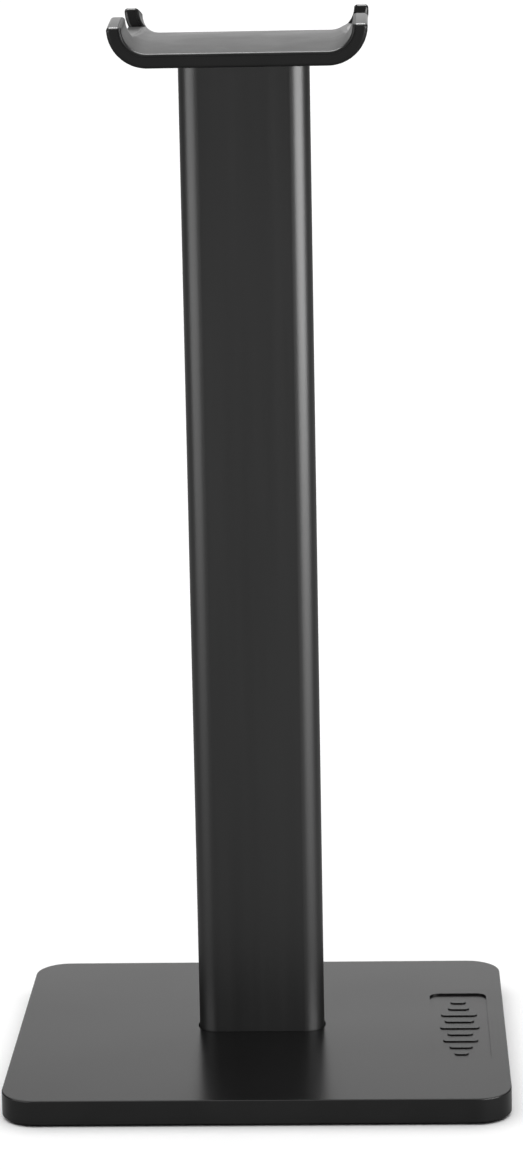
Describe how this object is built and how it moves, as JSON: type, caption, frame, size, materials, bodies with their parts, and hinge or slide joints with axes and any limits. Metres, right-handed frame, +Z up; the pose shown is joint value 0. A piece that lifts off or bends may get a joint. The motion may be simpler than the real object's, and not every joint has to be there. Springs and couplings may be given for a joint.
{
  "type": "headphone stand",
  "caption": "Tabletop headphone stand: flat weighted base, oblong aluminium column, and an arched cradle with upturned notched ends that holds a headband.",
  "frame": {"origin": "middle of the base's footprint, on the surface that the feet stand on", "axes": "+Z up along the column, +X to the right across the base's width, -Y towards the front, so the headband lies along Y"},
  "size_m": [0.118, 0.1, 0.2503],
  "materials": {
    "base_plastic": "black moulded ABS, fine satin texture",
    "cover_plastic": "black moulded ABS, coarser texture",
    "ballast_steel": "rolled steel plate, oiled",
    "fastener_steel": "zinc-plated steel",
    "foot_rubber": "black silicone rubber",
    "column_aluminium": "black anodised, satin",
    "saddle_plastic": "black moulded ABS, satin",
    "pad_tpu": "black soft-touch TPU"
  },
  "bodies": {
    "root": {"base_shell": "base_plastic", "bottom_cover": "cover_plastic", "ballast_plate": "ballast_steel", "cover_screw_1": "fastener_steel", "cover_screw_2": "fastener_steel", "cover_screw_3": "fastener_steel", "cover_screw_4": "fastener_steel", "foot_1": "foot_rubber", "foot_2": "foot_rubber", "foot_3": "foot_rubber", "foot_4": "foot_rubber", "column": "column_aluminium", "column_washer_left": "fastener_steel", "column_washer_right": "fastener_steel", "column_screw_left": "fastener_steel", "column_screw_right": "fastener_steel", "cradle_saddle": "saddle_plastic", "cradle_pad": "pad_tpu", "cradle_screw_left": "fastener_steel", "cradle_screw_right": "fastener_steel"}
  },
  "joints": []
}
